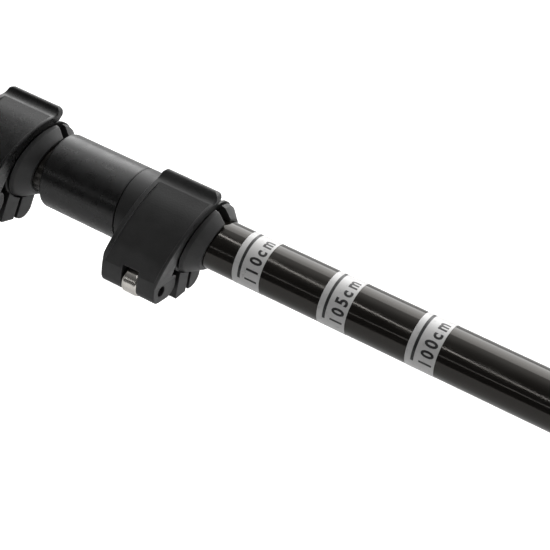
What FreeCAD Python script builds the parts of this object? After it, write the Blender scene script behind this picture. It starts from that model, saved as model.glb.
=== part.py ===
import FreeCAD, Part
import math
import os

# Three-section telescopic boom pole with two flip-lock clamps.
#
# Millimetres. The pole lies along +X: the origin is the centre of the flat butt face, the
# microphone stud points to +X and +Z is up. Each clamp is modelled in a frame of its own,
# with its origin on the pole's axis at the front of the clamp's nose: x runs along the pole,
# y points away from the ears, z points to the side where the lever's hub sits. The clamp is
# then rolled about the pole and moved along it.

Vector = FreeCAD.Vector
X_DIRECTION = Vector(1, 0, 0)
Z_DIRECTION = Vector(0, 0, 1)

# ---- driving dimensions: tubes ----
OUTER_OD = 18.0
MIDDLE_OD = 16.0
INNER_OD = 14.0
TUBE_WALL = 0.8
RUNNING_GAP = 0.05           # radial gap where one piece slides or turns in another
FIT_GAP = 0.02               # gap between pieces that are pressed, glued or bolted together

# ---- driving dimensions: places along the pole, at rest ----
NOSE_A = 520.0               # front of the clamp on the outer tube
NOSE_SPACING = 53.3          # from there to the front of the clamp on the middle tube
TIP_REACH = 303.3            # from there to the end of the microphone stud
MIDDLE_TRAVEL = 355.8        # how far the middle tube can still be drawn out
INNER_TRAVEL = 117.7         # the same for the inner tube
LEFT_INSIDE = 60.0           # length of tube still held when fully drawn out
NOSE_B = NOSE_A + NOSE_SPACING
TIP = NOSE_B + TIP_REACH

# ---- driving dimensions: grip and butt ----
GRIP_R = 14.5
GRIP_START = 14.3
GRIP_LENGTH = 254.0
GRIP_ROUNDING = 4.0
CAP_R = 13.0
CAP_LENGTH = 14.0
CAP_FLOOR = 4.0
PLUG_LENGTH = 20.0
PLUG_BORE_R = 4.0
RING_R = 11.5
RING_LENGTH = 9.0

# ---- driving dimensions: microphone end ----
STUD_R = 4.7625              # 3/8 in
STUD_LENGTH = 12.0
STUD_ROOT = 8.0              # length screwed into the head
STUD_CHAMFER = 0.6
HEAD_R = 8.5
HEAD_LENGTH = 13.0
SPIGOT_LENGTH = 18.0
LOCK_RING_R = 9.5
LOCK_RING_LENGTH = 4.6
FLUTES = 18
FLUTE_R = 0.7
PAD_THICKNESS = 0.8
RELIEF_LENGTH = 0.6          # groove that ends the free thread, under the face pad
RELIEF_R = 4.2

# ---- driving dimensions: guide bushes at the hidden tube ends ----
GLIDE_LENGTH = 18.0
GLIDE_SPIGOT = 12.0
GLIDE_BORE_R = 4.0

# ---- driving dimensions: clamp, for the smaller of the two ----
COLLAR_R = 10.5
COLLAR_WALL = 1.9
SOCKET_WALL = 1.33
SEAM = -26.0                 # where the ferrule meets the collar
SEAM_CHAMFER = 0.25
FERRULE_END = -50.2
TUBE_STOP = -27.0            # front end of the tube that carries the clamp
BUSH_END = -24.5
RIM = -5.0
RIM_STEP = 0.4
RIM_WIDTH = 0.8
FRONT_LEAN = 14.0            # degrees by which the front of collar and lever leans
NOSE_LEAN = 11.0             # the same for the front end of the nose
FLANGE = -4.3
CONE_BASE = -3.1
CONE_BASE_R = 10.2
CONE_TIP_R = 7.8
NOSE_SLIT = 2.8
NOSE_SLIT_ANGLE = 5.0        # from the direction opposite to the ears
EAR_DEPTH = 17.8
EAR_HALF = 5.3
EAR_FRONT = -6.7
EAR_BACK = -21.2
EAR_GAP = 1.4
RELIEF_CUT = 0.8
BAND_IN = 11.2
BAND_OUT = 13.7
LIP_START = 8.8              # angle of the lever's free end
LIP_FOOT = 21.0              # angle at which the lip runs out into the band
LIP_TIP_R = 1.0
LIP_GROOVE_R = 2.4
LIP_TURN = 80.0              # direction in which the lip's tip meets the groove
LIP_CORNER = 2.0
CORNER_PROUD = 0.03
BULGE_R = 26.0               # outer face between band and hub
LEVER_EDGE_R = 0.35
LEVER_FRONT = -4.5
LEVER_BACK = -22.0
HUB_FRONT = -7.2
HUB_BACK = -23.7
PANEL_DEPTH = 0.35
PANEL_BACK_RIM = 1.4
PANEL_FRONT_RIM = 0.9
PANEL_END = 3.8              # where the recess ends, from the hinge pin towards the lip
PANEL_START = 22.5           # angle at which the recess begins, next to the lip
PIVOT_DOWN = 12.5            # hinge pin, measured towards the ears
PIVOT_OUT = 12.7             # hinge pin, measured towards the lever
PIN_R = 1.5
PIN_RECESS = 1.3
HUB_R = 3.6
CAM_REACH = 6.8
BOLT_X = -14.9
EYE_R = 4.0
EYE_WIDTH = 4.7
EYE_EDGE_R = 0.8
SHANK_R = 2.0
SHANK_END = -11.2
NOTCH_GAP = 0.15
NOTCH_TOP = 5.0              # how far the notch reaches above the hinge pin on the outside
PLATE_THICKNESS = 0.5
NUT_R = 3.3
NUT_LENGTH = 3.0
WASHER_THICKNESS = 0.6

BIG = 400.0                  # size of the blocks used as cutting half-spaces


# ---- general shape helpers ----

def rod(x0, x1, radius):
    """Solid cylinder on the x axis."""
    return Part.makeCylinder(radius, x1 - x0, Vector(x0, 0, 0), X_DIRECTION)


def tube(x0, x1, outer, inner):
    """Hollow cylinder on the x axis."""
    return rod(x0, x1, outer).cut(rod(x0 - 1, x1 + 1, inner))


def turned(points):
    """Body of revolution about x from a closed list of (x, radius) points."""
    corners = [Vector(x, radius, 0) for x, radius in points]
    profile = Part.Face(Part.makePolygon(corners + corners[:1]))
    return profile.revolve(Vector(0, 0, 0), X_DIRECTION, 360)


def polar(radius, angle, centre=(0.0, 0.0)):
    """Point in the y-z plane; the angle runs from +y towards +z."""
    turn = math.radians(angle)
    return Vector(0, centre[0] + radius * math.cos(turn), centre[1] + radius * math.sin(turn))


def prism(x0, x1, start, *steps):
    """Solid along x with a closed outline in the y-z plane.

    Each step is a tuple: one point for a straight side, or a point on the way and an end
    point for an arc. The last step closes the outline.
    """
    edges = []
    here = start
    for step in steps:
        end = step[-1]
        if len(step) == 2:
            edges.append(Part.Arc(here, step[0], end).toShape())
        else:
            edges.append(Part.LineSegment(here, end).toShape())
        here = end
    face = Part.Face(Part.Wire(edges))
    face.translate(Vector(x0, 0, 0))
    return face.extrude(Vector(x1 - x0, 0, 0))


def ahead_of(x, lean):
    """Everything in front of a plane that crosses the axis at x and leans forward along +y."""
    block = Part.makeBox(BIG, BIG, BIG, Vector(0, -BIG / 2, -BIG / 2))
    block.rotate(Vector(0, 0, 0), Z_DIRECTION, -lean)
    block.translate(Vector(x, 0, 0))
    return block


def behind(x, lean):
    """Everything behind the same kind of leaning plane."""
    block = Part.makeBox(BIG, BIG, BIG, Vector(-BIG, -BIG / 2, -BIG / 2))
    block.rotate(Vector(0, 0, 0), Z_DIRECTION, -lean)
    block.translate(Vector(x, 0, 0))
    return block


def leaning_ring(x, radius, lean):
    """Ring-shaped wire where a leaning plane cuts a cylinder about the axis."""
    rise = radius * math.tan(math.radians(lean))
    ellipse = Part.Ellipse(Vector(x + rise, radius, 0), Vector(x, 0, radius), Vector(x, 0, 0))
    return Part.Wire([ellipse.toShape()])


def save(name, shape):
    """Write one piece, with its seams between coplanar faces removed."""
    shape.removeSplitter().exportStep(os.path.join("parts", name + ".step"))


# ---- clamp: a flip lock that squeezes one tube in the end of the next ----

class Clamp:
    """Size and place of one flip-lock clamp."""

    def __init__(self, suffix, nose_x, roll, gripped_od, carrier_od):
        self.suffix = suffix
        self.nose_x = nose_x
        self.roll = roll
        self.bore_r = gripped_od / 2 + RUNNING_GAP
        self.carrier_r = carrier_od / 2
        self.grow = (gripped_od - INNER_OD) / 2
        self.collar_r = COLLAR_R + self.grow
        self.liner_r = self.collar_r - COLLAR_WALL
        self.socket_r = self.carrier_r + FIT_GAP + SOCKET_WALL
        self.band_in = BAND_IN + self.grow
        self.band_out = BAND_OUT + self.grow
        self.ear_half = EAR_HALF + self.grow
        self.ear_depth = EAR_DEPTH + self.grow
        self.pivot = (-PIVOT_DOWN - self.grow, PIVOT_OUT + self.grow)

    def place(self, shape):
        """Roll a piece about the pole and move it to its place along the pole."""
        placed = shape.copy()
        placed.rotate(Vector(0, 0, 0), X_DIRECTION, self.roll)
        placed.translate(Vector(self.nose_x, 0, 0))
        return placed

    def save(self, name, shape):
        save(name + "_" + self.suffix, self.place(shape))

    def across(self, radius, z0, z1):
        """Cylinder on the tension bolt's line, between two heights z."""
        foot = Vector(BOLT_X, self.pivot[0], z0)
        return Part.makeCylinder(radius, z1 - z0, foot, Z_DIRECTION)

    def on_pivot(self, radius, x0, x1):
        """Cylinder on the hinge pin's line."""
        foot = Vector(x0, self.pivot[0], self.pivot[1])
        return Part.makeCylinder(radius, x1 - x0, foot, X_DIRECTION)


def make_ferrule(clamp):
    """Smooth sleeve that covers the joint between the carrying tube and the collar."""
    end_wall = 1.5
    shell = tube(FERRULE_END, SEAM - FIT_GAP, clamp.collar_r, clamp.socket_r + FIT_GAP)
    wall = tube(FERRULE_END, FERRULE_END + end_wall, clamp.collar_r, clamp.carrier_r + FIT_GAP)
    ferrule = shell.fuse(wall).removeSplitter()
    outer_edges = [edge for edge in ferrule.Edges
                   if edge.Curve.TypeId == "Part::GeomCircle"
                   and abs(edge.Curve.Radius - clamp.collar_r) < 0.01]
    rear = [edge for edge in outer_edges if edge.CenterOfMass.x < SEAM - 1]
    front = [edge for edge in outer_edges if edge.CenterOfMass.x > SEAM - 1]
    return ferrule.makeFillet(0.5, rear).makeChamfer(SEAM_CHAMFER, front)


def make_ears(clamp):
    """Solid block of both ears, before the gap between them is cut."""
    half = clamp.ear_half
    deep = clamp.ear_depth
    return prism(EAR_BACK, EAR_FRONT,
                 Vector(0, -6, half),
                 (Vector(0, 0.4 - deep, half),),
                 (Vector(0, 0.12 - deep, half - 0.12), Vector(0, -deep, half - 0.4)),
                 (Vector(0, 0.7 - deep, -1),),
                 (Vector(0, 1.6 - deep, -half + 1.1), Vector(0, 3.6 - deep, -half)),
                 (Vector(0, -6, -half),),
                 (Vector(0, -6, half),))


def make_collar(clamp):
    """Split collar with two ears, on a socket that is glued over the carrying tube."""
    socket_start = FERRULE_END + 1.8
    stop_r = clamp.carrier_r - TUBE_WALL + 0.1
    body = turned([(socket_start, clamp.carrier_r + FIT_GAP),
                   (TUBE_STOP + FIT_GAP, clamp.carrier_r + FIT_GAP),
                   (TUBE_STOP + FIT_GAP, stop_r),
                   (BUSH_END - FIT_GAP, stop_r),
                   (BUSH_END - FIT_GAP, clamp.liner_r),
                   (0, clamp.liner_r),
                   (0, clamp.collar_r),
                   (SEAM + SEAM_CHAMFER, clamp.collar_r),
                   (SEAM, clamp.collar_r - SEAM_CHAMFER),
                   (SEAM, clamp.socket_r),
                   (socket_start, clamp.socket_r)])
    ears = make_ears(clamp).cut(rod(BUSH_END, 1, clamp.liner_r))
    rim = tube(SEAM, 0, clamp.collar_r + RIM_STEP, clamp.collar_r - 0.5)
    rim = rim.common(ahead_of(RIM - RIM_WIDTH, FRONT_LEAN))
    front_room = rod(-BIG, BIG, clamp.collar_r + RIM_STEP + 0.1).common(ahead_of(RIM, FRONT_LEAN))
    collar = body.fuse([ears, rim]).cut(front_room)
    gap = Part.makeBox(BIG, BIG, EAR_GAP, Vector(EAR_BACK - RELIEF_CUT, -BIG, -EAR_GAP / 2))
    gap = gap.cut(rod(EAR_BACK - 2, BIG, clamp.bore_r))
    relief = Part.makeBox(RELIEF_CUT, BIG, BIG, Vector(EAR_BACK - RELIEF_CUT, -BIG - 2, -BIG / 2))
    bolt_hole = clamp.across(SHANK_R + 0.2, -clamp.ear_half - 1, clamp.ear_half + 1)
    return collar.cut([gap, relief, bolt_hole])


def make_bush(clamp):
    """Split liner between collar and tube, with a flange and a cone-shaped nose."""
    rings = [leaning_ring(FLANGE, clamp.collar_r, FRONT_LEAN),
             leaning_ring(CONE_BASE, CONE_BASE_R + clamp.grow, FRONT_LEAN),
             leaning_ring(0, CONE_TIP_R + clamp.grow, NOSE_LEAN)]
    nose = Part.makeLoft(rings, True, True)
    liner = rod(BUSH_END, CONE_BASE, clamp.liner_r - FIT_GAP)
    liner = liner.cut(ahead_of(CONE_BASE - 0.4, FRONT_LEAN))
    slit = Part.makeBox(BIG, BIG, NOSE_SLIT, Vector(-BIG / 2, 0, -NOSE_SLIT / 2))
    slit.rotate(Vector(0, 0, 0), X_DIRECTION, NOSE_SLIT_ANGLE)
    return nose.fuse(liner).cut([rod(-BIG, BIG, clamp.bore_r), slit])


def bulge_centre(clamp):
    """Centre of the arc that runs out smoothly into the band's circle and the hub's circle."""
    y, z = clamp.pivot
    distance = math.hypot(y, z)
    to_band = BULGE_R - clamp.band_out
    to_hub = BULGE_R - HUB_R
    along = (to_band ** 2 - to_hub ** 2 + distance ** 2) / (2 * distance)
    across = math.sqrt(to_band ** 2 - along ** 2)
    return (along * y - across * z) / distance, (along * z + across * y) / distance


def face_ends(clamp):
    """Angle where the bulge leaves the band and, about the bulge's centre, where the hub starts."""
    centre_y, centre_z = bulge_centre(clamp)
    pivot_y, pivot_z = clamp.pivot
    band_end = math.degrees(math.atan2(-centre_z, -centre_y))
    hub_top = math.degrees(math.atan2(pivot_z - centre_z, pivot_y - centre_y))
    return band_end, hub_top


def lip_groove(clamp):
    """Centre of the hollow in front of the lip."""
    centre = polar(clamp.band_out + LIP_GROOVE_R, LIP_FOOT)
    return centre.y, centre.z


def lip_tip(clamp):
    """Centre of the lip's rounded free edge."""
    centre = polar(LIP_GROOVE_R + LIP_TIP_R, LIP_TURN + 180, lip_groove(clamp))
    return centre.y, centre.z


def lever_outline(clamp):
    """Start and steps of the lever's side view: band, lip, hub and cam."""
    pivot_y, pivot_z = clamp.pivot
    cam = (pivot_y, pivot_z - CAM_REACH + HUB_R)
    groove = lip_groove(clamp)
    tip = lip_tip(clamp)
    band_end, hub_top = face_ends(clamp)
    bulge = bulge_centre(clamp)
    start = polar(clamp.band_in, 112)
    steps = [(polar(clamp.band_in, 65), polar(clamp.band_in, LIP_START + 5)),
             (polar(clamp.band_in + 0.6, LIP_START),),
             (polar(LIP_TIP_R, -80, tip),),
             (polar(LIP_TIP_R, 0, tip), polar(LIP_TIP_R, LIP_TURN, tip)),
             (polar(LIP_GROOVE_R, (LIP_TURN + LIP_FOOT) / 2 + 180, groove),
              polar(clamp.band_out, LIP_FOOT))]
    steps += [(polar(clamp.band_out, (LIP_FOOT + band_end) / 2), polar(clamp.band_out, band_end)),
              (polar(BULGE_R, (band_end + hub_top) / 2, bulge), polar(BULGE_R, hub_top, bulge)),
              (polar(HUB_R, (hub_top + 180) / 2, clamp.pivot), polar(HUB_R, 180, clamp.pivot)),
              (polar(HUB_R, 180, cam),),
              (polar(HUB_R, 270, cam), polar(HUB_R, 0, cam)),
              (start,)]
    return start, steps


def on_tangent(radius, touch, angle, centre=(0.0, 0.0)):
    """Point in one direction from the centre, on the line that touches a circle at another."""
    return polar(radius / math.cos(math.radians(angle - touch)), angle, centre)


def panel_cutter(clamp):
    """Shallow recess in the lever's outer face that runs out towards the lip and the hub."""
    bulge = bulge_centre(clamp)
    band_end = face_ends(clamp)[0]
    band_r = clamp.band_out - PANEL_DEPTH
    bulge_r = BULGE_R - PANEL_DEPTH
    first = PANEL_START + math.degrees(math.acos(band_r / clamp.band_out))
    end = math.degrees(math.acos((clamp.pivot[0] + PANEL_END - bulge[0]) / BULGE_R))
    last = end - math.degrees(math.acos(bulge_r / BULGE_R))
    start = on_tangent(band_r, first, PANEL_START - 0.5)
    above = clamp.band_out + 9
    recess = prism(-BIG / 2, BIG / 2, start,
                   (polar(band_r, first),),
                   (polar(band_r, (first + band_end) / 2), polar(band_r, band_end)),
                   (polar(bulge_r, (band_end + last) / 2, bulge), polar(bulge_r, last, bulge)),
                   (on_tangent(bulge_r, last, end + 3, bulge),),
                   (polar(BULGE_R + 6, end, bulge),),
                   (polar(above, 60),),
                   (polar(above, PANEL_START - 0.5),),
                   (start,))
    recess = recess.cut(behind(LEVER_BACK + PANEL_BACK_RIM, FRONT_LEAN))
    return recess.cut(ahead_of(LEVER_FRONT - PANEL_FRONT_RIM, FRONT_LEAN))


def lip_rounding(clamp, x, side):
    """Cutter that rounds a corner of the lip; side is +1 at its front and -1 at its back.

    Its cylinder stands out of both faces by a hair, so that it crosses them and never just touches.
    """
    lean = math.radians(FRONT_LEAN)
    centre_y = lip_tip(clamp)[0] + LIP_TIP_R + CORNER_PROUD - LIP_CORNER
    inset = (LIP_CORNER - CORNER_PROUD) / math.cos(lean)
    centre = Vector(x + centre_y * math.tan(lean) - side * inset, centre_y, 0)
    reach = LIP_CORNER + 1
    corner_y = centre_y + reach
    corner_x = x + corner_y * math.tan(lean) + side / math.cos(lean)
    wedge = Part.Face(Part.makePolygon([
        centre,
        Vector(centre.x, corner_y, 0),
        Vector(corner_x, corner_y, 0),
        centre + Vector(side * reach * math.cos(lean), -side * reach * math.sin(lean), 0),
        centre]))
    wedge = wedge.extrude(Vector(0, 0, BIG))
    return wedge.cut(Part.makeCylinder(LIP_CORNER, BIG, centre))


def face_edges(clamp, lever):
    """Curved edges of the lever's outer face, from the lip's foot to the hub."""
    circles = [((0, 0), clamp.band_out), (bulge_centre(clamp), BULGE_R), (clamp.pivot, HUB_R)]
    found = []
    for edge in lever.Edges:
        middle = edge.valueAt((edge.FirstParameter + edge.LastParameter) / 2)
        on_face = any(abs(math.hypot(middle.y - y, middle.z - z) - radius) < 0.01
                      for (y, z), radius in circles)
        if on_face and edge.Curve.TypeId != "Part::GeomLine":
            found.append(edge)
    return found


def make_lever(clamp):
    """Cam lever: curved band, finger lip at its free end, hub with a slot for the bolt."""
    start, steps = lever_outline(clamp)
    lever = prism(LEVER_BACK - 8, LEVER_FRONT + 8, start, *steps)
    front_cut = ahead_of(LEVER_FRONT, FRONT_LEAN).common(ahead_of(HUB_FRONT, 0))
    lever = lever.cut([front_cut, behind(LEVER_BACK, FRONT_LEAN), behind(HUB_BACK, 0)])
    lever = lever.makeFillet(LEVER_EDGE_R, face_edges(clamp, lever))
    half_notch = EYE_WIDTH / 2 + NOTCH_GAP
    notch_x = BOLT_X - half_notch
    notch = Part.makeBox(2 * half_notch, BIG, BIG,
                         Vector(notch_x, clamp.pivot[0] + 2.2 - BIG, -BIG / 2))
    mouth = Part.makeBox(2 * half_notch, BIG, BIG,
                         Vector(notch_x, clamp.pivot[0] + NOTCH_TOP - BIG, clamp.pivot[1]))
    eye_room = clamp.on_pivot(EYE_R + NOTCH_GAP, notch_x, notch_x + 2 * half_notch)
    pin_hole = clamp.on_pivot(PIN_R + 0.01, -60, 20)
    corners = [lip_rounding(clamp, LEVER_FRONT, 1), lip_rounding(clamp, LEVER_BACK, -1)]
    return lever.cut([panel_cutter(clamp), notch, mouth, eye_room, pin_hole] + corners)


def make_hinge_pin(clamp):
    """Steel pin on which the lever turns, a little short of the hub's end faces."""
    pin = clamp.on_pivot(PIN_R, HUB_BACK + PIN_RECESS, HUB_FRONT - PIN_RECESS)
    end_edges = [edge for edge in pin.Edges if edge.Curve.TypeId == "Part::GeomCircle"]
    return pin.makeChamfer(0.2, end_edges)


def make_eye_bolt(clamp):
    """Tension bolt: a round eye on the hinge pin and a shank through both ears."""
    eye = clamp.on_pivot(EYE_R, BOLT_X - EYE_WIDTH / 2, BOLT_X + EYE_WIDTH / 2)
    rims = [edge for edge in eye.Edges if edge.Curve.TypeId == "Part::GeomCircle"]
    eye = eye.makeFillet(EYE_EDGE_R, rims)
    shank = clamp.across(SHANK_R, SHANK_END - clamp.grow, clamp.pivot[1])
    bore = clamp.on_pivot(PIN_R + RUNNING_GAP, -60, 20)
    return eye.fuse(shank).cut(bore)


def make_wear_plate(clamp):
    """Thin steel plate on the front ear, against which the cam presses."""
    plate = Part.makeBox(11, 6.2, PLATE_THICKNESS,
                         Vector(BOLT_X - 5.5, clamp.pivot[0] - 3.4, clamp.ear_half + RUNNING_GAP))
    corners = [edge for edge in plate.Edges if edge.Length < 1]
    return plate.makeFillet(1.2, corners).cut(clamp.across(SHANK_R + 0.2, 0, 20))


def make_nut_washer(clamp):
    """Washer between the back ear and the nut."""
    top = -clamp.ear_half - FIT_GAP
    ring = clamp.across(NUT_R, top - WASHER_THICKNESS, top)
    return ring.cut(clamp.across(SHANK_R + 0.2, top - 2, top + 1))


def make_tension_nut(clamp):
    """Slotted round nut that sets how hard the clamp squeezes."""
    top = -clamp.ear_half - 2 * FIT_GAP - WASHER_THICKNESS
    bottom = top - NUT_LENGTH
    nut = clamp.across(NUT_R, bottom, top)
    outer_rim = [edge for edge in nut.Edges
                 if abs(edge.BoundBox.ZMax - bottom) < 0.01 and abs(edge.BoundBox.ZMin - bottom) < 0.01]
    nut = nut.makeChamfer(0.4, outer_rim)
    slot = Part.makeBox(1.2, 20, 1.1, Vector(BOLT_X - 0.6, clamp.pivot[0] - 10, bottom))
    return nut.cut([clamp.across(SHANK_R + RUNNING_GAP, bottom - 1, top + 1), slot])


def write_clamp(clamp):
    """All pieces of one clamp."""
    clamp.save("ferrule", make_ferrule(clamp))
    clamp.save("collar", make_collar(clamp))
    clamp.save("split_bush", make_bush(clamp))
    clamp.save("lever", make_lever(clamp))
    clamp.save("hinge_pin", make_hinge_pin(clamp))
    clamp.save("eye_bolt", make_eye_bolt(clamp))
    clamp.save("wear_plate", make_wear_plate(clamp))
    clamp.save("nut_washer", make_nut_washer(clamp))
    clamp.save("tension_nut", make_tension_nut(clamp))


# ---- tubes and guide bushes ----

def make_tube(x0, x1, diameter):
    return tube(x0, x1, diameter / 2, diameter / 2 - TUBE_WALL)


def make_glide(tube_end, tube_od, housing_od):
    """Guide bush: rides in the bigger tube, and the smaller tube turns on its spigot."""
    guide_r = housing_od / 2 - TUBE_WALL - RUNNING_GAP
    spigot_r = tube_od / 2 - TUBE_WALL - RUNNING_GAP
    guide = rod(tube_end - GLIDE_LENGTH, tube_end - RUNNING_GAP, guide_r)
    spigot = rod(tube_end - 1, tube_end + GLIDE_SPIGOT, spigot_r)
    return guide.fuse(spigot).cut(rod(tube_end - 40, tube_end + 40, GLIDE_BORE_R))


def write_tubes():
    middle_start = NOSE_A - LEFT_INSIDE - MIDDLE_TRAVEL
    inner_start = NOSE_B - LEFT_INSIDE - INNER_TRAVEL
    head_start = TIP - STUD_LENGTH - HEAD_LENGTH
    save("outer_tube", make_tube(CAP_FLOOR + FIT_GAP, NOSE_A + TUBE_STOP, OUTER_OD))
    save("middle_tube", make_tube(middle_start, NOSE_B + TUBE_STOP, MIDDLE_OD))
    save("inner_tube", make_tube(inner_start, head_start - FIT_GAP, INNER_OD))
    save("middle_glide", make_glide(middle_start, MIDDLE_OD, OUTER_OD))
    save("inner_glide", make_glide(inner_start, INNER_OD, MIDDLE_OD))


# ---- grip and butt ----

def make_grip():
    """Foam sleeve with rounded ends."""
    grip = tube(GRIP_START, GRIP_START + GRIP_LENGTH, GRIP_R, OUTER_OD / 2 + FIT_GAP)
    ends = [edge for edge in grip.Edges
            if edge.Length > 6 * GRIP_R and edge.Curve.TypeId == "Part::GeomCircle"]
    return grip.makeFillet(GRIP_ROUNDING, ends)


def make_grip_ring():
    """Ring that closes the front of the foam."""
    start = GRIP_START + GRIP_LENGTH + 0.2
    bore = OUTER_OD / 2 + FIT_GAP
    return turned([(start, bore), (start, RING_R), (start + 4, RING_R),
                   (start + RING_LENGTH, bore + 0.8), (start + RING_LENGTH, bore)])


def make_butt_cap():
    """Rubber cap with a flat face to stand on."""
    body = rod(0, CAP_LENGTH, CAP_R).cut(rod(CAP_FLOOR, CAP_LENGTH + 1, OUTER_OD / 2 + FIT_GAP))
    outer_edges = [edge for edge in body.Edges
                   if edge.Length > 6 * CAP_R and edge.Curve.TypeId == "Part::GeomCircle"]
    return body.makeFillet(1.5, outer_edges)


def make_butt_plug():
    """Plug that closes the outer tube under the cap."""
    start = CAP_FLOOR + FIT_GAP
    plug = rod(start, start + PLUG_LENGTH, OUTER_OD / 2 - TUBE_WALL - FIT_GAP)
    return plug.cut(rod(start + 3, start + PLUG_LENGTH + 1, PLUG_BORE_R))


def write_grip():
    save("foam_grip", make_grip())
    save("grip_ring", make_grip_ring())
    save("butt_cap", make_butt_cap())
    save("butt_plug", make_butt_plug())


# ---- microphone end ----

def make_tip_head():
    """Metal head on the inner tube, with a spigot inside the tube and a seat for the stud."""
    front = TIP - STUD_LENGTH
    start = front - HEAD_LENGTH
    head = turned([(start, 0), (start, INNER_OD / 2), (start + 2, HEAD_R), (front - 0.6, HEAD_R),
                   (front, HEAD_R - 0.6), (front, 0)])
    spigot = rod(start - SPIGOT_LENGTH, start, INNER_OD / 2 - TUBE_WALL - FIT_GAP)
    seat = rod(front - STUD_ROOT - FIT_GAP, front + 1, STUD_R + FIT_GAP)
    return head.fuse(spigot).cut(seat)


def make_stud():
    """Stud for a 3/8 in microphone holder, with a relief groove behind its free thread."""
    root = TIP - STUD_LENGTH - STUD_ROOT
    thread_start = TIP - STUD_LENGTH + LOCK_RING_LENGTH + PAD_THICKNESS + 3 * FIT_GAP
    relief = thread_start - RELIEF_LENGTH
    return turned([(root, 0), (root, STUD_R), (relief, STUD_R), (relief, RELIEF_R),
                   (thread_start, RELIEF_R), (thread_start, STUD_R),
                   (TIP - STUD_CHAMFER, STUD_R), (TIP, STUD_R - STUD_CHAMFER), (TIP, 0)])


def make_lock_ring():
    """Fluted ring that is turned against the microphone holder to lock it."""
    start = TIP - STUD_LENGTH + FIT_GAP
    ring = tube(start, start + LOCK_RING_LENGTH, LOCK_RING_R, STUD_R + RUNNING_GAP)
    flutes = []
    for i in range(FLUTES):
        foot = polar(LOCK_RING_R + 0.2, i * 360 / FLUTES)
        foot.x = start - 1
        flutes.append(Part.makeCylinder(FLUTE_R, LOCK_RING_LENGTH + 2, foot, X_DIRECTION))
    return ring.cut(flutes)


def make_face_pad():
    """Thin pad between the lock ring and the microphone holder."""
    start = TIP - STUD_LENGTH + LOCK_RING_LENGTH + 2 * FIT_GAP
    return tube(start, start + PAD_THICKNESS, LOCK_RING_R - 1, STUD_R + RUNNING_GAP)


def write_tip():
    save("tip_head", make_tip_head())
    save("mic_stud", make_stud())
    save("lock_ring", make_lock_ring())
    save("face_pad", make_face_pad())


os.makedirs("parts", exist_ok=True)
write_tubes()
write_grip()
write_tip()
write_clamp(Clamp("a", NOSE_A, 53.0, MIDDLE_OD, OUTER_OD))
write_clamp(Clamp("b", NOSE_B, 69.0, INNER_OD, MIDDLE_OD))
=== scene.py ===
import math

import bmesh
import bpy
from mathutils import Euler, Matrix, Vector, noise


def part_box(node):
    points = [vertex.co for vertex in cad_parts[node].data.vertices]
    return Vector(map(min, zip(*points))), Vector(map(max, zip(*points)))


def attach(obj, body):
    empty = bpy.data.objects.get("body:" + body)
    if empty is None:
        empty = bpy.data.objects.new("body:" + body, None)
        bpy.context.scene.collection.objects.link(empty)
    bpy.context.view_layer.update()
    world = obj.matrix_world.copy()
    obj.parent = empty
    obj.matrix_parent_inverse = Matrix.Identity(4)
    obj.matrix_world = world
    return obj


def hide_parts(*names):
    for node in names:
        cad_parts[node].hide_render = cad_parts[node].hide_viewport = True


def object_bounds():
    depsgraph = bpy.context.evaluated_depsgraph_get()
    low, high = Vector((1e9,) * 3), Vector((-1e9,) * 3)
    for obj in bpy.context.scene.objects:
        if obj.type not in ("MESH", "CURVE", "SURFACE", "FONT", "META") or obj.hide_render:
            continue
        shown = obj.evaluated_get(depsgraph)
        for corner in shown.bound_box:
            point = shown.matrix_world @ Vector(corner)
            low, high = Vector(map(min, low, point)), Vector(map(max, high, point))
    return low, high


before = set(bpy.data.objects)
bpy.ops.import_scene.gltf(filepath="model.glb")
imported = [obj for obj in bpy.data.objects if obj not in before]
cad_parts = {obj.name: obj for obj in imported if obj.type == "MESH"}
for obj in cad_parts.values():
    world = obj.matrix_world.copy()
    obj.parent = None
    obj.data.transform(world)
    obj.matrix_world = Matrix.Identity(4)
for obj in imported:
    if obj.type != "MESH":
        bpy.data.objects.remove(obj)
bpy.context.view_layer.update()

# Looks of the telescopic boom pole: materials for every CAD node, the printed length scale,
# the foam of the grip and the thread of the stud. Metres, in the CAD frame: the pole lies
# along +X with its axis on the X axis. Angles about the axis run from +Y towards +Z.

MM = 0.001

# ---- clamps ----
CLAMPS = ("a", "b")
CLAMP_SPACING = 53.3 * MM    # between the two noses
SEAM_TO_NOSE = 26 * MM       # from the end of clamp B's sleeve to its nose
nose_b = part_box("ferrule_b")[1].x + SEAM_TO_NOSE   # where clamp B's nose crosses the axis
nose_a = nose_b - CLAMP_SPACING

# ---- printed length scale; places along a mark are measured from the start of its band ----
MARK_STEP = 25 * MM          # tube length between two marks
LABELS = range(100, 136, 5)  # centimetres, the same on both tubes
KNOWN_LABEL = 110
INNER_KNOWN = 8.5 * MM       # start of that label's band on the inner tube, from clamp B's nose
MIDDLE_KNOWN = -231.7 * MM   # the same on the middle tube, from clamp A's nose
BAND_LENGTH = 8 * MM
PRINT_SUNK = 0.02 * MM       # depth of a print's underside in what it is printed on
BAND_THICKNESS = 0.03 * MM
BAND_SEGMENTS = 160
INK_THICKNESS = 0.01 * MM    # how far black print stands proud of white
LINE_START = 1.6 * MM
LINE_END = 2.4 * MM
LINE_FROM = 178              # degrees: the line's two ends on the tube
LINE_TO = 50
LINE_SEGMENTS = 60
DIGITS_TOP = 3.5 * MM
DIGIT_HEIGHT = 3.6 * MM
GLYPH_ANGLES = (172, 149.5, 127, 107, 80)    # degrees: middle of each character
GLYPH_WEIGHT = 0.035         # characters are thickened by this share of their size
GLYPH_SQUEEZE = 0.8          # width of a character as a share of the font's own
GLYPH_DEPTH = 0.01           # of the flat slab; it only tells front from back
GLYPH_STRIPS = 12            # flat strips that a character is bent with
GLYPH_CURVE_STEPS = 3
GLYPH_MERGE = 1e-5           # points closer than this share of the size are one

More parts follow.
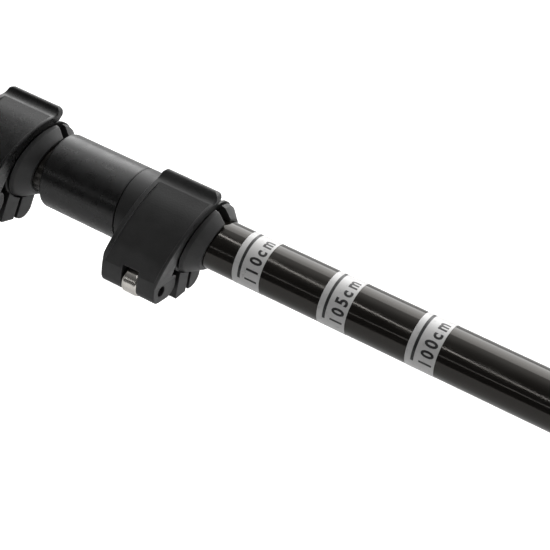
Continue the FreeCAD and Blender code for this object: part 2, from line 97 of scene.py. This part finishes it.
# ---- foam grip ----
FOAM_RINGS = 180
FOAM_SEGMENTS = 112
FOAM_CORNER_STEPS = 8
FOAM_ROUNDING = 4 * MM
FOAM_BORE_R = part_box("outer_tube")[1].z
FOAM_BORE_LEAD = 0.5 * MM
FOAM_CREST_R = 14.4 * MM
FOAM_WAVE = 0.18 * MM
FOAM_WAVE_DENSITY = 45       # waves to a metre
FOAM_DIMPLE = 0.05 * MM
FOAM_DIMPLE_DENSITY = 420
FOAM_NOISE_R = 0.02          # circle on which the noise is read, so that it closes on itself

# ---- stud thread, 3/8 in - 16 ----
THREAD_PITCH = 25.4 * MM / 16
THREAD_DEPTH = 0.85 * MM
THREAD_SEGMENTS = 72
THREAD_STEPS = 12            # stations along one turn
THREAD_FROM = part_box("tip_head")[1].x - 1 * MM
THREAD_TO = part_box("mic_stud")[1].x - 0.6 * MM
STUD_CHAMFER = 0.6 * MM      # measured across the stud
STUD_CHAMFER_LENGTH = 0.24 * MM
STUD_CENTRE_R = 0.02 * MM    # each end face closes on a polygon of this size

# ---- wear, painted edge highlights and noise in the materials ----
NOISE_WIDE = (0.3, 0.7)      # stretches of a noise's values that are spread over a range
NOISE_NARROW = (0.35, 0.65)
EDGE_COSINES = (0.94, 0.75)  # flat to rounded normal: where an edge begins and is complete

# ---- room, floor and camera ----
SIDE_LIGHT = 0.22            # brightness of the room level with the pole
FRONT_LIGHT = 0.07           # what is left of it in front
BACK_GROWTH = 3.6            # how steeply it rises towards the back
BACK_LIMIT = 18              # the back at its brightest, as a multiple of the side
FLOOR_REACH = 12.0           # from the origin to each side
FLOOR_DROP = 0.02            # below the pole's lowest point
FLOOR_GLOW = 0.8             # light that only the camera sees
CAMERA_AHEAD = 0.168306      # beyond clamp B's nose
CAMERA_BESIDE = -0.239153
CAMERA_ABOVE = 0.317341
CAMERA_AZIMUTH = math.radians(32.32)
CAMERA_TILT = math.radians(48.427)           # below level
CAMERA_LENS = 109.81
CAMERA_SENSOR = 36
CAMERA_RANGE = (0.01, 50)    # nearest and farthest that it sees


# ---- mesh helpers ----

def make_piece(name, vertices, faces, material, body, smooth=True):
    """Mesh object that rides on a CAD body."""
    mesh = bpy.data.meshes.new(name)
    mesh.from_pydata(vertices, [], faces)
    mesh.validate()
    mesh.update()
    if smooth:
        mesh.shade_smooth()
    piece = bpy.data.objects.new(name, mesh)
    bpy.context.scene.collection.objects.link(piece)
    mesh.materials.append(material)
    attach(piece, body)
    return piece


def around(x, radius, angle):
    """Point at a distance from the pole's axis; the angle is in radians."""
    return (x, radius * math.cos(angle), radius * math.sin(angle))


def revolve(stations, radius_at, segments):
    """Surface about the x axis through (x, radius) stations; radius_at may vary the radius."""
    vertices = []
    for x, radius in stations:
        for j in range(segments):
            angle = 2 * math.pi * j / segments
            vertices.append(around(x, radius_at(x, radius, angle), angle))
    faces = []
    for i in range(len(stations) - 1):
        for j in range(segments):
            k = (j + 1) % segments
            faces.append((i * segments + j, i * segments + k,
                          (i + 1) * segments + k, (i + 1) * segments + j))
    return vertices, faces


def plain_radius(x, radius, angle):
    """Radius that stays as it is."""
    return radius


def ring_loop(profile, segments, radius_at=plain_radius):
    """Closed ring about the x axis from a closed loop of (x, radius) points."""
    vertices, faces = revolve(profile + profile[:1], radius_at, segments)
    last = len(profile) * segments
    faces = [tuple(v % last for v in face) for face in faces]
    return vertices[:last], faces


def merged(shapes):
    """One list of vertices and one of faces from several such pairs."""
    vertices, faces = [], []
    for some_vertices, some_faces in shapes:
        base = len(vertices)
        vertices += some_vertices
        faces += [tuple(base + v for v in face) for face in some_faces]
    return vertices, faces


# ---- node helpers ----

class NodeTree:
    """Nodes of a material or a world, and helpers that add to them."""

    def __init__(self, owner):
        owner.use_nodes = True
        self.nodes = owner.node_tree.nodes
        self.links = owner.node_tree.links

    def feed(self, target, value):
        """Give an input a constant or another node's output."""
        if isinstance(value, bpy.types.NodeSocket):
            self.links.new(value, target)
        else:
            target.default_value = value

    def arithmetic(self, operation, a, b=0.0):
        """Result of a sum on one or two values."""
        node = self.nodes.new("ShaderNodeMath")
        node.operation = operation
        self.feed(node.inputs[0], a)
        self.feed(node.inputs[1], b)
        return node.outputs[0]


class Shader(NodeTree):
    """Material under construction: a Principled surface and helpers to feed it."""

    def __init__(self, name):
        self.material = bpy.data.materials.new(name)
        super().__init__(self.material)
        self.surface = self.nodes["Principled BSDF"]
        self.place = self.nodes.new("ShaderNodeTexCoord").outputs["Object"]

    def set(self, socket, value):
        """Give one input of the surface a constant or another node's output."""
        self.feed(self.surface.inputs[socket], value)

    def stretched(self, scale):
        """Object coordinates scaled by a vector."""
        node = self.nodes.new("ShaderNodeMapping")
        node.inputs["Scale"].default_value = scale
        self.links.new(self.place, node.inputs["Vector"])
        return node.outputs["Vector"]

    def noise(self, size, detail=3.0, roughness=0.5, stretch=(1, 1, 1)):
        """Noise between 0 and 1 with features of the given size in metres."""
        node = self.nodes.new("ShaderNodeTexNoise")
        node.inputs["Scale"].default_value = 1 / size
        node.inputs["Detail"].default_value = detail
        node.inputs["Roughness"].default_value = roughness
        self.links.new(self.stretched(stretch), node.inputs["Vector"])
        return node.outputs["Fac"]

    def cells(self, size):
        """Distance to the nearest of scattered points, in units of the given size."""
        node = self.nodes.new("ShaderNodeTexVoronoi")
        node.inputs["Scale"].default_value = 1 / size
        self.links.new(self.place, node.inputs["Vector"])
        return node.outputs["Distance"]

    def remap(self, value, span, to_low=0.0, to_high=1.0):
        """Value moved from one span to another and held inside it."""
        node = self.nodes.new("ShaderNodeMapRange")
        node.inputs["From Min"].default_value = span[0]
        node.inputs["From Max"].default_value = span[1]
        node.inputs["To Min"].default_value = to_low
        node.inputs["To Max"].default_value = to_high
        self.links.new(value, node.inputs["Value"])
        return node.outputs["Result"]

    def mix(self, share, a, b):
        """Colour a where share is 0 and colour b where it is 1."""
        node = self.nodes.new("ShaderNodeMix")
        node.data_type = "RGBA"
        share_in, a_in, b_in, colour_out = 0, 6, 7, 2
        self.feed(node.inputs[share_in], share)
        self.feed(node.inputs[a_in], a)
        self.feed(node.inputs[b_in], b)
        return node.outputs[colour_out]

    def rounded(self, radius):
        """Normal that runs smoothly over edges, as if they were rounded."""
        node = self.nodes.new("ShaderNodeBevel")
        node.samples = 6
        node.inputs["Radius"].default_value = radius
        return node.outputs["Normal"]

    def edges(self, radius):
        """1 on edges and 0 away from them."""
        geometry = self.nodes.new("ShaderNodeNewGeometry")
        cosine = self.nodes.new("ShaderNodeVectorMath")
        cosine.operation = "DOT_PRODUCT"
        self.links.new(self.rounded(radius), cosine.inputs[0])
        self.links.new(geometry.outputs["Normal"], cosine.inputs[1])
        return self.remap(cosine.outputs["Value"], EDGE_COSINES)

    def bump(self, layers, normal=None):
        """Chain of bumps from (height, depth in metres) pairs; feeds the surface."""
        for height, depth in layers:
            node = self.nodes.new("ShaderNodeBump")
            node.inputs["Distance"].default_value = depth
            self.links.new(height, node.inputs["Height"])
            if normal is not None:
                self.links.new(normal, node.inputs["Normal"])
            normal = node.outputs["Normal"]
        self.set("Normal", normal)


def grey(value, warmth=0.0):
    """Neutral colour; a positive warmth shifts it to brown and a negative one to blue."""
    return (value * (1 + warmth), value, value * (1 - warmth), 1)


# ---- materials ----

def moulded_plastic(name, value, rough, grain, specular=0.5, warmth=0.0):
    """Injection-moulded plastic with a spark-eroded grain and lighter edges, partly wear and partly a
    painted highlight.
    """
    shader = Shader(name)
    cloud = shader.noise(6 * MM, detail=4)
    specks = shader.noise(0.35 * MM, detail=2)
    rubs = shader.noise(3 * MM, detail=5)
    pits = shader.cells(0.55 * MM)
    dull = grey(value * 0.82, warmth)
    clean = grey(value * 1.15, warmth)
    # lighter edge colour: partly real wear, partly a painted highlight where rounded edges catch the
    # light
    edge_wear_and_highlight = grey(value * 3 + 0.05, warmth)
    body = shader.mix(shader.remap(cloud, NOISE_NARROW), dull, clean)
    patchy = shader.remap(cloud, NOISE_WIDE, 0.3, 0.9)
    # share of the lighter edge colour: wear plus painted edge highlight, patchy along the edges
    second_colour_share = shader.arithmetic("MULTIPLY", shader.edges(0.6 * MM), patchy)
    shader.set("Base Color", shader.mix(second_colour_share, body, edge_wear_and_highlight))
    shader.set("Roughness", shader.remap(rubs, NOISE_WIDE, rough - 0.05, rough + 0.07))
    shader.set("Specular IOR Level", specular)
    shader.bump([(specks, grain), (pits, grain * 0.6)], shader.rounded(0.25 * MM))
    return shader.material


def coated_tube(name, value, rough):
    """Gloss lacquer over a drawn tube: fine lines along the pole and a few rub marks."""
    shader = Shader(name)
    lines = shader.noise(0.25 * MM, detail=3, roughness=0.6, stretch=(0.03, 1, 1))
    rubs = shader.noise(2.5 * MM, detail=5, roughness=0.6, stretch=(0.25, 1, 1))
    flecks = shader.cells(0.8 * MM)
    lacquer = grey(value, 0.2)
    rubbed = grey(value * 2.2, 0.12)
    shader.set("Base Color", shader.mix(shader.remap(rubs, (0.35, 0.75)), lacquer, rubbed))
    drawn = shader.remap(lines, NOISE_WIDE, -0.02, 0.03)
    dulled = shader.remap(rubs, (0.4, 0.8), rough, rough + 0.1)
    shader.set("Roughness", shader.arithmetic("ADD", dulled, drawn))
    shader.set("Specular IOR Level", 0.42)
    shader.set("Specular Tint", (1.0, 0.95, 0.88, 1))
    shader.set("Coat Weight", 0.1)
    shader.set("Coat Roughness", 0.06)
    shader.bump([(lines, 0.0015 * MM), (flecks, 0.002 * MM)], shader.rounded(0.15 * MM))
    return shader.material


def plated_metal(name, colour, rough, line_size, line_depth):
    """Turned and plated metal with fine tool marks and dull patches."""
    shader = Shader(name)
    turned = shader.noise(line_size, detail=2, stretch=(1, 0.15, 0.15))
    patches = shader.noise(1.8 * MM, detail=5)
    stained = tuple(c * 0.72 for c in colour[:3]) + (1,)
    stain = shader.remap(patches, (0.4, 0.7), 0, 0.7)
    shader.set("Base Color", shader.mix(stain, colour, stained))
    shader.set("Metallic", 1.0)
    shader.set("Roughness", shader.remap(patches, NOISE_WIDE, rough, rough + 0.12))
    shader.bump([(turned, line_depth)], shader.rounded(0.15 * MM))
    return shader.material


def anodised_metal(name, value, rough):
    """Bead-blasted and anodised aluminium, rubbed bright on its edges."""
    shader = Shader(name)
    blast = shader.noise(0.18 * MM, detail=2)
    tone = shader.noise(5 * MM, detail=4)
    body = shader.mix(shader.remap(tone, NOISE_NARROW), grey(value * 0.85), grey(value * 1.2))
    patchy = shader.remap(tone, (0.45, 0.6), 0, 0.8)
    rubbed = shader.arithmetic("MULTIPLY", shader.edges(0.2 * MM), patchy)
    shader.set("Base Color", shader.mix(rubbed, body, grey(0.55)))
    shader.set("Metallic", 0.75)
    shader.set("Roughness", shader.remap(tone, NOISE_WIDE, rough - 0.04, rough + 0.08))
    shader.bump([(blast, 0.012 * MM)], shader.rounded(0.2 * MM))
    return shader.material


def closed_cell_foam():
    """Dark foam skin with burst cells whose centres carry painted shade, a soft sheen and patches
    that hands have smoothed.
    """
    shader = Shader("foam_skin")
    pores = shader.cells(0.45 * MM)
    coarse = shader.cells(1.3 * MM)
    blotch = shader.noise(14 * MM, detail=4)
    body = shader.mix(shader.remap(blotch, NOISE_NARROW), grey(0.026), grey(0.05))
    # burst cells painted near black at their centres: painted shade inside the pores
    pits = shader.remap(pores, (0.0, 0.35), 1, 0)
    shader.set("Base Color", shader.mix(pits, body, grey(0.008)))
    shader.set("Roughness", shader.remap(blotch, NOISE_WIDE, 0.78, 0.95))
    shader.set("Sheen Weight", 0.25)
    shader.set("Sheen Roughness", 0.6)
    shader.bump([(pores, 0.16 * MM), (coarse, 0.12 * MM)])
    return shader.material


def moulded_rubber():
    """Matte rubber with a powdery bloom."""
    shader = Shader("rubber_black")
    bloom = shader.noise(4 * MM, detail=6, roughness=0.6)
    grain = shader.noise(0.25 * MM, detail=2)
    powder = shader.remap(bloom, (0.4, 0.75))
    shader.set("Base Color", shader.mix(powder, grey(0.014), grey(0.04)))
    shader.set("Roughness", shader.remap(bloom, NOISE_WIDE, 0.62, 0.85))
    shader.bump([(grain, 0.02 * MM)], shader.rounded(0.3 * MM))
    return shader.material


def printed_ink(name, colour, wear_colour):
    """Screen-printed ink, slightly uneven, with pinholes where it has worn."""
    shader = Shader(name)
    uneven = shader.noise(1.2 * MM, detail=5)
    pinholes = shader.noise(0.16 * MM, detail=3)
    thin = shader.remap(uneven, (0.55, 0.75))
    second_colour_share = shader.arithmetic("MULTIPLY", thin, shader.remap(pinholes, (0.5, 0.62)))
    shader.set("Base Color", shader.mix(second_colour_share, colour, wear_colour))
    shader.set("Roughness", shader.remap(uneven, NOISE_WIDE, 0.28, 0.42))
    shader.bump([(pinholes, 0.004 * MM)])
    return shader.material


def paper():
    """Pale paper that is lit up where the camera sees it, so that it meets the backdrop."""
    shader = Shader("floor_paper")
    fibres = shader.remap(shader.noise(2 * MM, detail=4), NOISE_WIDE)
    shader.set("Base Color", shader.mix(fibres, grey(0.82), grey(0.86)))
    shader.set("Roughness", 0.9)
    shader.set("Emission Color", grey(1.0))
    seen = shader.nodes.new("ShaderNodeLightPath").outputs["Is Camera Ray"]
    shader.set("Emission Strength", shader.arithmetic("MULTIPLY", seen, FLOOR_GLOW))
    return shader.material


tube_gloss = coated_tube("tube_gloss", value=0.004, rough=0.08)
tube_satin = coated_tube("tube_satin", value=0.005, rough=0.2)
sleeve_plastic = moulded_plastic("sleeve_plastic", value=0.002, rough=0.28, grain=0.0015 * MM)
lever_matte = moulded_plastic("lever_matte", value=0.021, rough=0.40, grain=0.022 * MM)
lever_polished = moulded_plastic("lever_polished", value=0.007, rough=0.26, grain=0.012 * MM)
collar_plastic = moulded_plastic("collar_plastic", value=0.016, rough=0.42, grain=0.010 * MM,
                                 specular=0.4)
bush_plastic = moulded_plastic("bush_plastic", value=0.045, rough=0.46, grain=0.006 * MM,
                               specular=0.35)
guide_plastic = moulded_plastic("guide_plastic", value=0.45, rough=0.4, grain=0.006 * MM,
                                warmth=0.06)
nickel = plated_metal("nickel_plate", (0.83, 0.80, 0.75, 1), rough=0.10,
                      line_size=0.12 * MM, line_depth=0.002 * MM)
steel = plated_metal("turned_steel", (0.55, 0.55, 0.56, 1), rough=0.28,
                     line_size=0.2 * MM, line_depth=0.006 * MM)
black_metal = anodised_metal("black_anodised", value=0.035, rough=0.38)
bright_metal = anodised_metal("bright_anodised", value=0.6, rough=0.3)
foam = closed_cell_foam()
rubber = moulded_rubber()
white_ink = printed_ink("white_ink", colour=(0.62, 0.615, 0.61, 1), wear_colour=(0.25, 0.25, 0.24, 1))
black_ink = printed_ink("black_ink", colour=(0.012, 0.012, 0.012, 1), wear_colour=(0.2, 0.2, 0.2, 1))


def paint(material, *names):
    """Give CAD nodes their finish."""
    for name in names:
        for material_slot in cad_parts[name].material_slots:
            material_slot.material = material


def paint_frame():
    """Finish of every CAD node that stays in view."""
    paint(tube_satin, "outer_tube", "middle_tube")
    paint(tube_gloss, "inner_tube")
    paint(guide_plastic, "middle_glide", "inner_glide", "butt_plug")
    paint(black_metal, "grip_ring", "tip_head")
    paint(rubber, "butt_cap", "face_pad")
    paint(bright_metal, "lock_ring")
    paint(lever_polished, "lever_a")
    paint(lever_matte, "lever_b")
    for clamp in CLAMPS:
        paint(sleeve_plastic, "ferrule_" + clamp)
        paint(collar_plastic, "collar_" + clamp)
        paint(bush_plastic, "split_bush_" + clamp)
        paint(nickel, "eye_bolt_" + clamp, "tension_nut_" + clamp)
        paint(steel, "hinge_pin_" + clamp, "wear_plate_" + clamp, "nut_washer_" + clamp)


# ---- printed length scale ----

def band_ring(x, radius):
    """White band that goes all the way round, sunk a little into the tube."""
    low, high = radius - PRINT_SUNK, radius + BAND_THICKNESS
    end = x + BAND_LENGTH
    return ring_loop([(x, low), (x, high), (end, high), (end, low)], BAND_SEGMENTS)


def line_arc(x, radius):
    """Thin strip bent part of the way round, beside the numerals."""
    near, far = x + LINE_START, x + LINE_END
    surface = radius + BAND_THICKNESS
    low, high = surface - PRINT_SUNK, surface + INK_THICKNESS
    section = ((near, low), (far, low), (far, high), (near, high))
    corners = len(section)
    vertices = []
    for i in range(LINE_SEGMENTS + 1):
        angle = math.radians(LINE_FROM + (LINE_TO - LINE_FROM) * i / LINE_SEGMENTS)
        vertices += [around(along, distance, angle) for along, distance in section]
    faces = [tuple(range(corners))]
    for i in range(LINE_SEGMENTS):
        here, there = corners * i, corners * (i + 1)
        for j in range(corners):
            k = (j + 1) % corners
            faces.append((here + j, there + j, there + k, here + k))
    last = corners * LINE_SEGMENTS
    faces.append(tuple(last + j for j in reversed(range(corners))))
    return vertices, faces


def glyph(character):
    """One character as a flat slab, centred across and cut into strips that can be bent."""
    curve = bpy.data.curves.new("glyph", "FONT")
    curve.body = character
    curve.extrude = GLYPH_DEPTH
    curve.offset = GLYPH_WEIGHT
    curve.resolution_u = GLYPH_CURVE_STEPS
    carrier = bpy.data.objects.new("glyph", curve)
    mesh = bpy.data.meshes.new_from_object(carrier)
    shape = bmesh.new()
    shape.from_mesh(mesh)
    bmesh.ops.remove_doubles(shape, verts=shape.verts, dist=GLYPH_MERGE)
    left = min(v.co.x for v in shape.verts)
    right = max(v.co.x for v in shape.verts)
    for i in range(1, GLYPH_STRIPS):
        cut = (left + (right - left) * i / GLYPH_STRIPS, 0, 0)
        everything = shape.verts[:] + shape.edges[:] + shape.faces[:]
        bmesh.ops.bisect_plane(shape, geom=everything, plane_co=cut, plane_no=(1, 0, 0))
    bmesh.ops.triangulate(shape, faces=shape.faces)
    shape.verts.index_update()
    points = [(v.co.x - (left + right) / 2, v.co.y, v.co.z) for v in shape.verts]
    faces = [tuple(v.index for v in face.verts) for face in shape.faces]
    shape.free()
    bpy.data.objects.remove(carrier)
    bpy.data.meshes.remove(mesh)
    return points, faces


def wrapped(character, degrees, x, radius, scale):
    """Character bent round the tube: it reads against the angle and its top faces -X."""
    points, faces = glyph(character)
    foot = x + DIGITS_TOP + DIGIT_HEIGHT
    vertices = []
    for across, up, out in points:
        angle = math.radians(degrees) - across * scale * GLYPH_SQUEEZE / radius
        lift = BAND_THICKNESS + (INK_THICKNESS if out > 0 else -PRINT_SUNK)
        vertices.append(around(foot - up * scale, radius + lift, angle))
    return vertices, faces


def numerals(x, radius, text, scale):
    """Text of one mark, each character at its own angle."""
    return merged([wrapped(character, degrees, x, radius, scale)
                   for character, degrees in zip(text, GLYPH_ANGLES)])


def write_scale(tube, x_known):
    """Bands, lines and numerals of one tube; larger numbers stand nearer the grip."""
    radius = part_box(tube + "_tube")[1].z
    heights = [up for across, up, out in glyph("0")[0]]
    scale = DIGIT_HEIGHT / (max(heights) - min(heights))
    starts = {label: x_known + (KNOWN_LABEL - label) / LABELS.step * MARK_STEP
              for label in LABELS}
    bands = merged([band_ring(x, radius) for x in starts.values()])
    lines = merged([line_arc(x, radius) for x in starts.values()])
    texts = merged([numerals(x, radius, f"{label}cm", scale) for label, x in starts.items()])
    make_piece(tube + "_bands", *bands, white_ink, tube, smooth=False)
    make_piece(tube + "_lines", *lines, black_ink, tube, smooth=False)
    make_piece(tube + "_numerals", *texts, black_ink, tube, smooth=False)


# ---- foam grip ----

def foam_radius(x, radius, angle):
    """Foam is never quite round: long soft waves and small dimples on its outer face."""
    spot = Vector(around(x, FOAM_NOISE_R, angle))
    share = min(1.0, (radius - FOAM_BORE_R) / FOAM_ROUNDING)
    wave = noise.noise(spot * FOAM_WAVE_DENSITY) * FOAM_WAVE
    dimple = noise.noise(spot * FOAM_DIMPLE_DENSITY) * FOAM_DIMPLE
    return radius + share * (wave + dimple)


def foam_profile():
    """Closed loop of (x, radius) points: bore, rounded end, outer face, rounded end."""
    low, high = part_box("foam_grip")
    first, last = low.x + FOAM_ROUNDING, high.x - FOAM_ROUNDING
    turns = [math.pi / 2 * i / FOAM_CORNER_STEPS for i in range(FOAM_CORNER_STEPS + 1)]
    corner = [(FOAM_ROUNDING * (1 - math.cos(turn)),
               FOAM_CREST_R - FOAM_ROUNDING * (1 - math.sin(turn))) for turn in turns]
    loop = [(first, FOAM_BORE_R), (low.x, FOAM_BORE_R + FOAM_BORE_LEAD)]
    loop += [(low.x + inset, radius) for inset, radius in corner]
    loop += [(first + (last - first) * i / FOAM_RINGS, FOAM_CREST_R) for i in range(1, FOAM_RINGS)]
    loop += [(high.x - inset, radius) for inset, radius in reversed(corner)]
    loop += [(high.x, FOAM_BORE_R + FOAM_BORE_LEAD), (last, FOAM_BORE_R)]
    return loop


def write_grip():
    """Foam sleeve in place of the plain one."""
    vertices, faces = ring_loop(foam_profile(), FOAM_SEGMENTS, foam_radius)
    grip = make_piece("grip_foam", vertices, faces, foam, "handle")
    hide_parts("foam_grip")


# ---- stud with a real thread ----

def thread_radius(x, radius, angle):
    """Radius of a one-start thread with rounded crests that fades out at both ends."""
    turn = (x / THREAD_PITCH - angle / (2 * math.pi)) % 1
    valley = 0.5 - 0.5 * math.cos(2 * math.pi * turn)
    fade = min(1.0, (x - THREAD_FROM) / THREAD_PITCH, (THREAD_TO - x) / THREAD_PITCH)
    return radius - THREAD_DEPTH * valley * max(0.0, fade)


def write_stud():
    """Threaded stud in place of the plain one."""
    low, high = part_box("mic_stud")
    radius = high.z
    length = THREAD_TO - THREAD_FROM
    count = round(length / THREAD_PITCH * THREAD_STEPS)
    stations = [(low.x, STUD_CENTRE_R), (low.x, radius)]
    stations += [(THREAD_FROM + length * i / count, radius) for i in range(count + 1)]
    stations += [(high.x - STUD_CHAMFER_LENGTH, radius), (high.x, radius - STUD_CHAMFER)]
    stations.append((high.x, STUD_CENTRE_R))
    vertices, faces = revolve(stations, thread_radius, THREAD_SEGMENTS)
    last = (len(stations) - 1) * THREAD_SEGMENTS
    faces.append(tuple(reversed(range(THREAD_SEGMENTS))))
    faces.append(tuple(last + j for j in range(THREAD_SEGMENTS)))
    stud = make_piece("stud_threaded", vertices, faces, steel, "inner")
    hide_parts("mic_stud")


# ---- floor, light and camera ----

def make_floor():
    """Wide sheet of paper under the pole."""
    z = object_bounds()[0].z - FLOOR_DROP
    outline = ((-1, -1), (1, -1), (1, 1), (-1, 1))
    corners = [(FLOOR_REACH * across, FLOOR_REACH * along, z) for across, along in outline]
    mesh = bpy.data.meshes.new("floor")
    mesh.from_pydata(corners, [], [(0, 1, 2, 3)])
    mesh.materials.append(paper())
    floor = bpy.data.objects.new("floor", mesh)
    bpy.context.scene.collection.objects.link(floor)


def make_strip(name, place, length, width, power):
    """Strip light aimed at the point where clamp B's nose crosses the axis."""
    data = bpy.data.lights.new(name, "AREA")
    data.shape = "RECTANGLE"
    data.size = length
    data.size_y = width
    data.energy = power
    light = bpy.data.objects.new(name, data)
    light.location = place
    aim = Vector((nose_b, 0, 0)) - Vector(place)
    light.rotation_euler = aim.to_track_quat("-Z", "Y").to_euler()
    bpy.context.scene.collection.objects.link(light)


def make_world():
    """Room that is bright behind the pole and dim in front; plain white to the camera."""
    world = bpy.data.worlds.new("studio")
    bpy.context.scene.world = world
    tree = NodeTree(world)
    room = tree.nodes["Background"]
    room.inputs["Color"].default_value = grey(1.0)
    direction = tree.nodes.new("ShaderNodeSeparateXYZ")
    view = tree.nodes.new("ShaderNodeTexCoord").outputs["Generated"]
    tree.links.new(view, direction.inputs[0])
    growth = tree.arithmetic("MULTIPLY", direction.outputs["Y"], BACK_GROWTH)
    rising = tree.arithmetic("EXPONENT", growth)
    limited = tree.arithmetic("MINIMUM", rising, BACK_LIMIT)
    scaled = tree.arithmetic("MULTIPLY", limited, SIDE_LIGHT)
    strength = tree.arithmetic("ADD", scaled, FRONT_LIGHT)
    tree.links.new(strength, room.inputs["Strength"])
    backdrop = tree.nodes.new("ShaderNodeBackground")
    backdrop.inputs["Color"].default_value = grey(1.0)
    seen = tree.nodes.new("ShaderNodeLightPath").outputs["Is Camera Ray"]
    blend = tree.nodes.new("ShaderNodeMixShader")
    tree.links.new(seen, blend.inputs[0])
    tree.links.new(room.outputs[0], blend.inputs[1])
    tree.links.new(backdrop.outputs[0], blend.inputs[2])
    tree.links.new(blend.outputs[0], tree.nodes["World Output"].inputs["Surface"])


def make_camera():
    """Camera at the photograph's angle, looking at clamp B from the front and above."""
    data = bpy.data.cameras.new("camera")
    data.sensor_width = CAMERA_SENSOR
    data.lens = CAMERA_LENS
    data.clip_start, data.clip_end = CAMERA_RANGE
    camera = bpy.data.objects.new("camera", data)
    camera.location = (nose_b + CAMERA_AHEAD, CAMERA_BESIDE, CAMERA_ABOVE)
    camera.rotation_euler = Euler((math.pi / 2 - CAMERA_TILT, 0, CAMERA_AZIMUTH))
    bpy.context.scene.collection.objects.link(camera)
    bpy.context.scene.camera = camera


paint_frame()
write_scale("inner", nose_b + INNER_KNOWN)
write_scale("middle", nose_a + MIDDLE_KNOWN)
write_grip()
write_stud()
make_floor()
make_world()
make_camera()
make_strip("overhead strip", place=(nose_b - 0.35, -0.12, 0.95), length=1.6, width=0.02, power=1.2)
make_strip("front strip", place=(nose_b - 0.3, -0.95, 0.5), length=1.4, width=0.03, power=0.35)
bpy.context.scene.view_settings.view_transform = "Standard"
